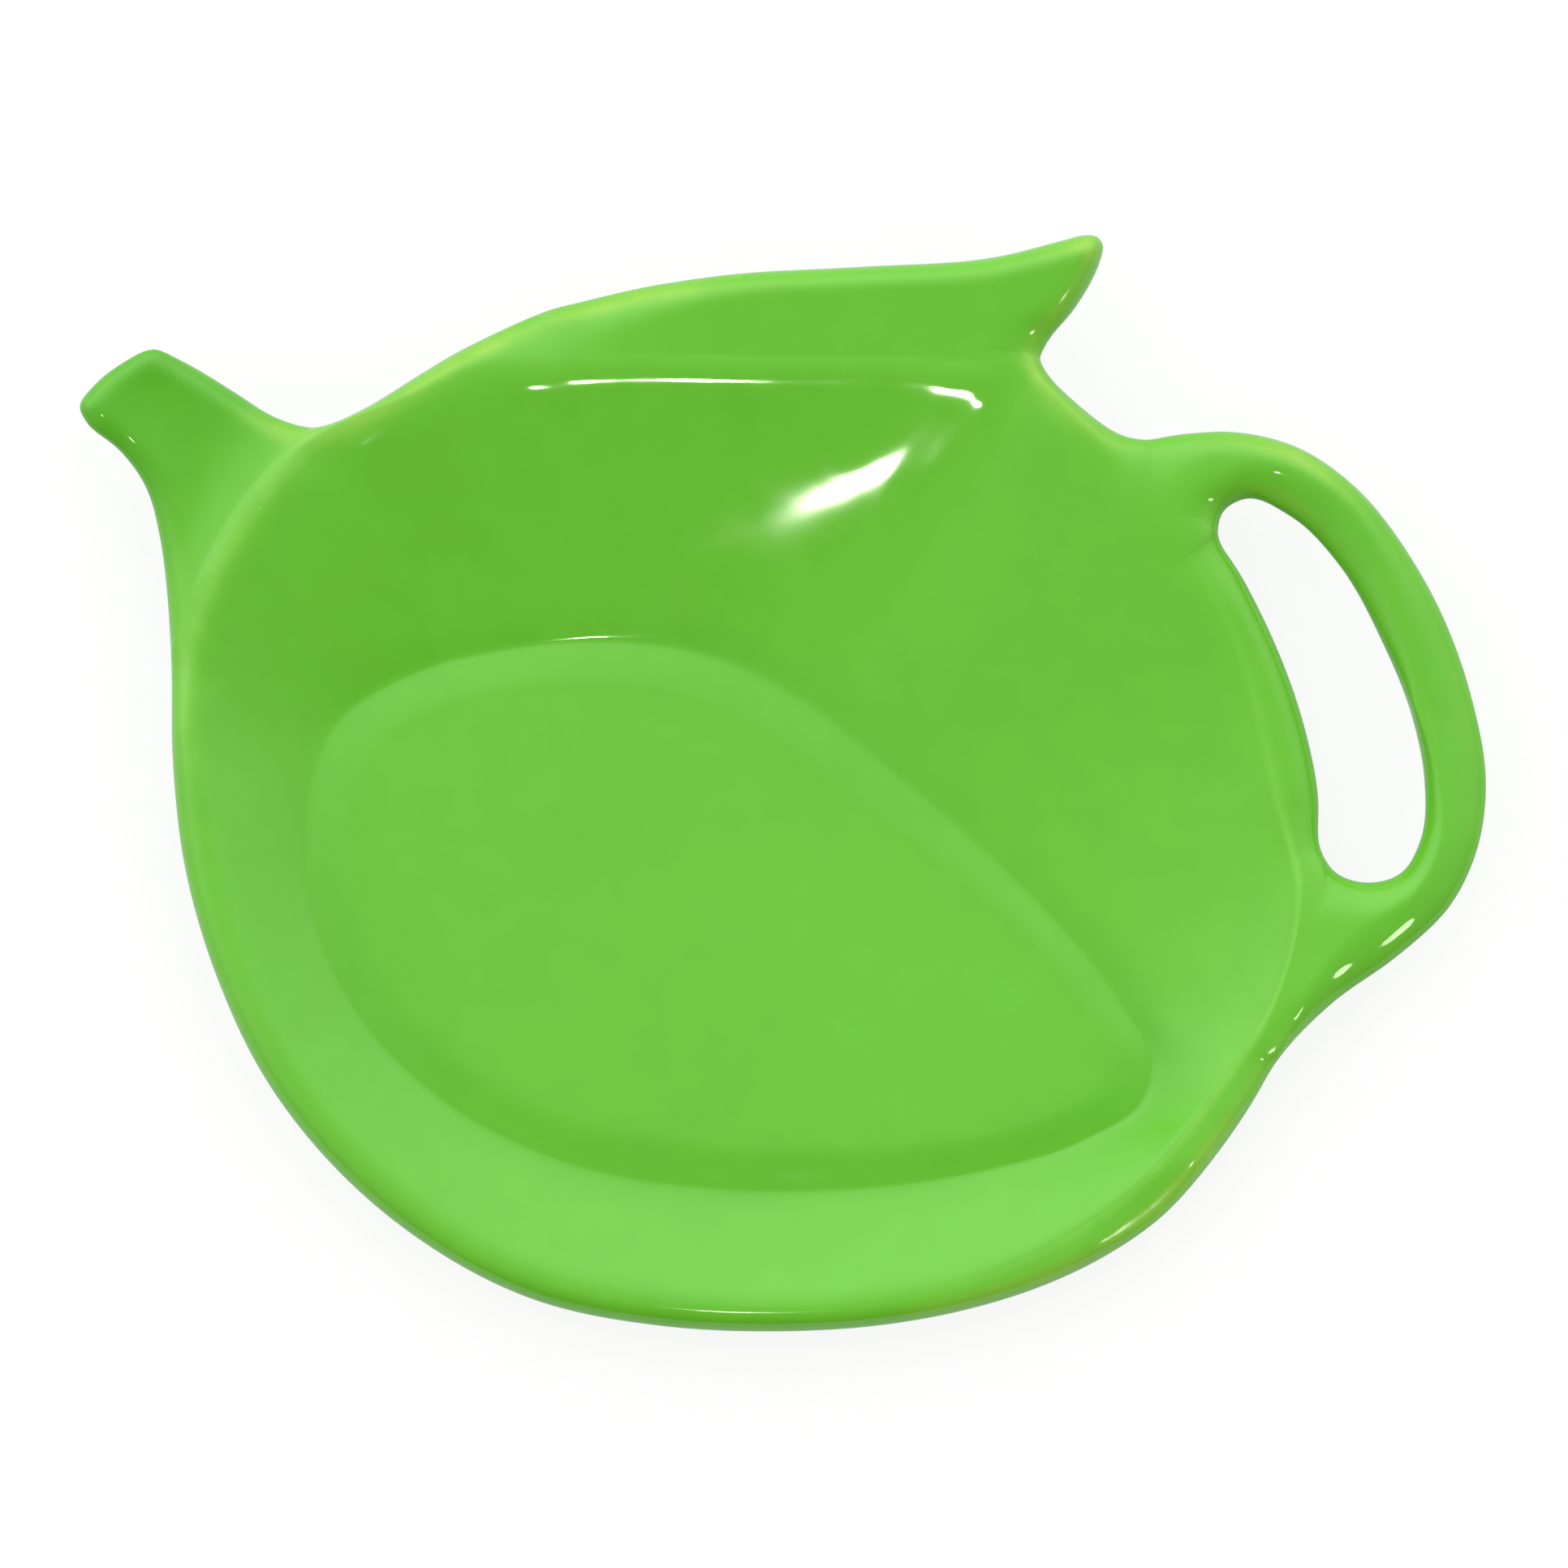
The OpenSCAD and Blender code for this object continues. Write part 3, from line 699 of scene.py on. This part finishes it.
def glaze_depths(points, upper_ids, crest_row):
    """Where the glaze runs thin or is rubbed, on crests and edges, with painted sheen and
    highlight where some of them face the light, and where it pools, with painted shade on the
    spout.
    """
    xy = points[:, :2]
    # Paler along free edges: thin glaze, and on the upper and spout edges that face the light,
    # painted sheen
    thin_edge_and_sheen = bell(edge_gap(xy) - EDGE_TINT_AT, EDGE_TINT_W)
    places = place([spot[:2] for spot in THIN_AND_SHEEN_PLACES])
    reaches = np.array([spot[2] for spot in THIN_AND_SHEEN_PLACES])
    near = bell(length_of(xy[:, None] - places[None]), reaches).max(1)
    thin_edge_and_sheen *= EDGE_TINT_LEAST + (1 - EDGE_TINT_LEAST) * near
    rubbed, crest_glaze_and_highlight = np.zeros(len(points)), np.zeros(len(points))
    rubbed[upper_ids[crest_row]] = 1
    crest_glaze_and_highlight[upper_ids[crest_row]] = crisp
    from_centre = xy - centre
    turn = (np.arctan2(from_centre[:, 1], from_centre[:, 0]) - SPOUT_AT + pi) % (2 * pi) - pi
    spout_side = 1 - between(np.abs(turn), SPOUT_SPAN)
    to_crest = gap(xy, crest)
    # Beside the crest by the spout, a lighter band: thin glaze and a painted highlight on the
    # ridge
    crest_glaze_and_highlight = np.maximum(crest_glaze_and_highlight, SPOUT_RIDGE_GLAZE_AND_HIGHLIGHT * spout_side * bell(to_crest, SPOUT_RIDGE_GLAZE_AND_HIGHLIGHT_W))
    pool_and_shade = POOL_SHARE * bell(gap(xy, oval) - POOL_AT, POOL_W) * (points[:, 2] > MOAT_H - POOL_AT)
    # On the spout beyond the crest, painted shade: darker where the spout's surface turns from
    # the light
    root, along_root = corner(SPOUT_ROOT), corner(SPOUT_ROOT + 1) - corner(SPOUT_ROOT)
    on_spout = cross(along_root, xy - root) * cross(along_root, centre - root) < 0
    pool_and_shade = np.maximum(pool_and_shade, on_spout * spout_side * between(to_crest, SPOUT_SHADE))
    return {"thin_edge_and_sheen": thin_edge_and_sheen, "crest_glaze_and_highlight": crest_glaze_and_highlight, "rubbed": rubbed, "pool_and_shade": pool_and_shade}


def glazed_body():
    cage, upper_ids, under_ids, crest_row = build_cage()
    points = calm(np.array(cage.points), cage.faces)
    body = object_from("glazed_rest", points, cage.faces)
    for name, values in glaze_depths(points, upper_ids, crest_row).items():
        layer = body.data.attributes.new(name, "FLOAT", "POINT")
        layer.data.foreach_set("value", values)
    subdivide(body)
    return body


class Paint:
    """A material's nodes, with short names for the few kinds used here."""

    def __init__(self, name):
        self.material = bpy.data.materials.new(name)
        self.material.use_nodes = True
        self.nodes = self.material.node_tree.nodes
        self.shader = self.nodes["Principled BSDF"]
        self.place = self.node("ShaderNodeTexCoord").outputs["Object"]

    def node(self, kind, **settings):
        made = self.nodes.new(kind)
        for key, value in settings.items():
            setattr(made, key, value)
        return made

    def put(self, value, socket):
        if isinstance(value, bpy.types.NodeSocket):
            self.material.node_tree.links.new(value, socket)
        else:
            socket.default_value = value

    def math(self, operation, a, b):
        made = self.node("ShaderNodeMath", operation=operation)
        self.put(a, made.inputs[0])
        self.put(b, made.inputs[1])
        return made.outputs[0]

    def span(self, value, low, high, to_low, to_high):
        """Maps a value from one range to another, without going past its ends."""
        made = self.node("ShaderNodeMapRange", interpolation_type="SMOOTHSTEP")
        for socket, given in zip(made.inputs, (value, low, high, to_low, to_high)):
            self.put(given, socket)
        return made.outputs[0]

    def blend(self, share, a, b):
        made = self.node("ShaderNodeMix", data_type="RGBA")
        self.put(share, made.inputs[0])
        for value, socket in ((a, made.inputs[6]), (b, made.inputs[7])):
            self.put((*value, 1) if isinstance(value, tuple) else value, socket)
        return made.outputs[2]

    def shade(self, colour, factor):
        """Makes a colour lighter or darker by a factor."""
        made = self.node("ShaderNodeHueSaturation")
        self.put(colour, made.inputs["Color"])
        self.put(factor, made.inputs["Value"])
        return made.outputs[0]

    def noise(self, size, detail=2.0):
        """Soft noise from about 0.25 to 0.75, with features of a size in metres."""
        made = self.node("ShaderNodeTexNoise")
        self.put(self.place, made.inputs["Vector"])
        made.inputs["Scale"].default_value = 1 / size
        made.inputs["Detail"].default_value = detail
        return made.outputs["Fac"]

    def patches(self, size, to_low, to_high, detail=2.0, spread=NOISE_MID):
        """Soft patches of a size, with values in a range."""
        return self.span(self.noise(size, detail), *spread, to_low, to_high)

    def attribute(self, name):
        return self.node("ShaderNodeAttribute", attribute_name=name).outputs["Fac"]

    def bump(self, height, depth, normal=None):
        made = self.node("ShaderNodeBump")
        made.inputs["Strength"].default_value = 1
        made.inputs["Distance"].default_value = depth
        self.put(height, made.inputs["Height"])
        if normal is not None:
            self.put(normal, made.inputs["Normal"])
        return made.outputs[0]


def pinholes(paint):
    """Tiny pits, in a few of the cells of a coarse pattern."""
    cells = paint.node("ShaderNodeTexVoronoi")
    paint.put(paint.place, cells.inputs["Vector"])
    cells.inputs["Scale"].default_value = 1 / PIT_SPACING
    split = paint.node("ShaderNodeSeparateColor")
    paint.put(cells.outputs["Color"], split.inputs[0])
    chosen = paint.math("GREATER_THAN", split.outputs[0], 1 - PIT_SHARE)
    size = PIT_R / PIT_SPACING
    spot = paint.span(cells.outputs["Distance"], size / 2, size, 1.0, 0.0)
    return paint.math("MULTIPLY", spot, chosen)


def glaze_material():
    paint = Paint("green_glaze")
    # Paler at free edges: thin glaze, with painted sheen where the edges face the light
    tint_share = paint.math("MULTIPLY", paint.attribute("thin_edge_and_sheen"), paint.patches(0.005, 0.55, 1))
    colour = paint.blend(tint_share, GREEN, THIN_GLAZE_AND_SHEEN_GREEN)
    # Lighter on crests: thin glaze, and by the spout a painted highlight on the ridge
    tint_share = paint.math("MULTIPLY", paint.attribute("crest_glaze_and_highlight"), paint.patches(0.003, 0.6, 1))
    colour = paint.blend(tint_share, colour, CREST_GLAZE_AND_HIGHLIGHT_GREEN)
    # Darker where the glaze pools by the oval, and painted shade on the spout
    colour = paint.blend(paint.attribute("pool_and_shade"), colour, POOL_AND_SHADE_GREEN)
    cloud = paint.patches(0.03, 0.975, 1.025, 1.0, NOISE_WIDE)
    mottle = paint.patches(0.004, 0.98, 1.02, 3.0, NOISE_WIDE)
    colour = paint.shade(colour, paint.math("MULTIPLY", cloud, mottle))
    pits = pinholes(paint)
    colour = paint.blend(paint.math("MULTIPLY", pits, PIT_PALE), colour, THIN_GLAZE_AND_SHEEN_GREEN)
    paint.put(colour, paint.shader.inputs["Base Color"])
    smooth = paint.patches(0.006, 0.03, 0.06)
    rubbed = paint.math("MAXIMUM", paint.attribute("rubbed"), paint.attribute("thin_edge_and_sheen"))
    rough = paint.math("ADD", smooth, paint.math("MULTIPLY", rubbed, THIN_ROUGH))
    paint.put(rough, paint.shader.inputs["Roughness"])
    paint.shader.inputs["IOR"].default_value = GLAZE_IOR
    waves = paint.bump(paint.noise(WAVE_SIZE), WAVE_DEPTH)
    pitted = paint.bump(paint.math("SUBTRACT", 1.0, pits), PIT_DEPTH, waves)
    paint.put(pitted, paint.shader.inputs["Normal"])
    return paint.material


def clay_material():
    """Bare clay with fine dark grit. The glaze ends in a ragged line above it."""
    paint = Paint("bare_fired_clay")
    grain = paint.noise(0.0004, 4.0)
    colour = paint.blend(paint.span(grain, 0.35, 0.7, 0.0, 0.45), CLAY, DARK_CLAY)
    stain = paint.patches(0.012, 0.0, 0.3, spread=(0.35, 0.75))
    colour = paint.blend(stain, colour, DARK_CLAY)
    grit = paint.patches(0.0009, 0.0, 0.8, 0.0, (0.7, 0.76))
    colour = paint.blend(grit, colour, DARK_CLAY)
    split = paint.node("ShaderNodeSeparateXYZ")
    paint.put(paint.place, split.inputs[0])
    ragged = paint.math("MULTIPLY", paint.noise(0.002), GLAZE_RAGGED)
    height = paint.math("SUBTRACT", split.outputs["Z"], ragged)
    glazed = paint.span(height, GLAZE_LINE, GLAZE_LINE + GLAZE_FADE, 0.0, 1.0)
    colour = paint.blend(glazed, colour, GREEN)
    paint.put(colour, paint.shader.inputs["Base Color"])
    paint.put(paint.span(glazed, 0.0, 1.0, 0.85, 0.05), paint.shader.inputs["Roughness"])
    paint.put(paint.bump(grain, CLAY_GRAIN), paint.shader.inputs["Normal"])
    return paint.material


body = glazed_body()
body.data.materials.append(glaze_material())
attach(body, "root")
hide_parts("dish", "spout", "lid", "handle")

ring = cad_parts["foot_ring"]
ring.data.materials.clear()
ring.data.materials.append(clay_material())
rounded = ring.modifiers.new("rounded_edges", "BEVEL")
rounded.width = RING_ROUND
rounded.segments = RING_SEGMENTS
rounded.angle_limit = RING_ANGLE


# Stage
def white_floor():
    """A matt floor that takes the shadow, and looks white to the camera."""
    turns = [(-1, -1), (1, -1), (1, 1), (-1, 1)]
    mesh = bpy.data.meshes.new("floor")
    mesh.from_pydata([(x * FLOOR_HALF, y * FLOOR_HALF, 0) for x, y in turns], [], [(0, 1, 2, 3)])
    floor = bpy.data.objects.new("floor", mesh)
    bpy.context.scene.collection.objects.link(floor)
    made = bpy.data.materials.new("white_floor")
    made.use_nodes = True
    nodes, links = made.node_tree.nodes, made.node_tree.links
    shader = nodes["Principled BSDF"]
    shader.inputs["Base Color"].default_value = (FLOOR_GREY, FLOOR_GREY, FLOOR_GREY, 1)
    shader.inputs["Roughness"].default_value = FLOOR_ROUGH
    glow = nodes.new("ShaderNodeEmission")
    glow.inputs["Strength"].default_value = FLOOR_GLOW
    path = nodes.new("ShaderNodeLightPath")
    share = nodes.new("ShaderNodeMath")
    share.operation = "MULTIPLY"
    share.inputs[1].default_value = FLOOR_GLOW_SHARE
    both = nodes.new("ShaderNodeMixShader")
    links.new(path.outputs["Is Camera Ray"], share.inputs[0])
    links.new(share.outputs[0], both.inputs[0])
    links.new(shader.outputs[0], both.inputs[1])
    links.new(glow.outputs[0], both.inputs[2])
    links.new(both.outputs[0], nodes["Material Output"].inputs["Surface"])
    mesh.materials.append(made)


def direction(azimuth, zenith):
    """Unit vector towards a place in the sky, from angles in degrees."""
    a, z = radians(azimuth), radians(zenith)
    return Vector((cos(a) * sin(z), sin(a) * sin(z), cos(z)))


def studio_light():
    world = bpy.data.worlds.new("studio")
    bpy.context.scene.world = world
    world.use_nodes = True
    nodes, links = world.node_tree.nodes, world.node_tree.links

    def math(operation, a, b):
        made = nodes.new("ShaderNodeMath")
        made.operation = operation
        for socket, value in zip(made.inputs, (a, b)):
            if isinstance(value, (int, float)):
                socket.default_value = value
            else:
                links.new(value, socket)
        return made.outputs[0]

    way = nodes.new("ShaderNodeTexCoord").outputs["Generated"]
    total = 0.0
    for azimuth, level in SKY.items():
        facing = nodes.new("ShaderNodeVectorMath")
        facing.operation = "DOT_PRODUCT"
        facing.inputs[1].default_value = direction(azimuth, SKY_ZENITH)
        links.new(way, facing.inputs[0])
        lobe = math("POWER", math("MAXIMUM", facing.outputs["Value"], 0.0), SKY_SHARPNESS)
        total = math("ADD", math("MULTIPLY", lobe, level), total)
    camera_ray = nodes.new("ShaderNodeLightPath").outputs["Is Camera Ray"]
    sky = nodes["Background"]
    sky.inputs["Color"].default_value = (1, 1, 1, 1)
    links.new(math("MAXIMUM", total, camera_ray), sky.inputs["Strength"])


def lamp(name, azimuth, zenith, size, radiance):
    """An elliptical lamp that faces the rest, as wide and as high as its size says."""
    data = bpy.data.lights.new(name, "AREA")
    data.shape = "ELLIPSE"
    data.size, data.size_y = size
    data.color = LAMP_COLOUR
    data.energy = radiance * pi * pi / 4 * size[0] * size[1]
    made = bpy.data.objects.new(name, data)
    made.location = direction(azimuth, zenith) * LAMP_DISTANCE
    made.rotation_mode = "QUATERNION"
    made.rotation_quaternion = (-made.location).to_track_quat("-Z", "Y")
    bpy.context.scene.collection.objects.link(made)


def camera():
    """Straight above, with the photo's frame. Its width is true at the rim's level."""
    frame_width = REST_L * PHOTO_PX / REST_PX
    data = bpy.data.cameras.new("camera")
    data.lens = data.sensor_width * (CAMERA_HEIGHT - RIM_LEVEL) / frame_width
    made = bpy.data.objects.new("camera", data)
    made.location = (0, 0, CAMERA_HEIGHT)
    bpy.context.scene.collection.objects.link(made)
    bpy.context.scene.camera = made


bpy.context.scene.view_settings.view_transform = "Standard"
white_floor()
studio_light()
for name, settings in LAMPS.items():
    lamp(name, *settings)
camera()
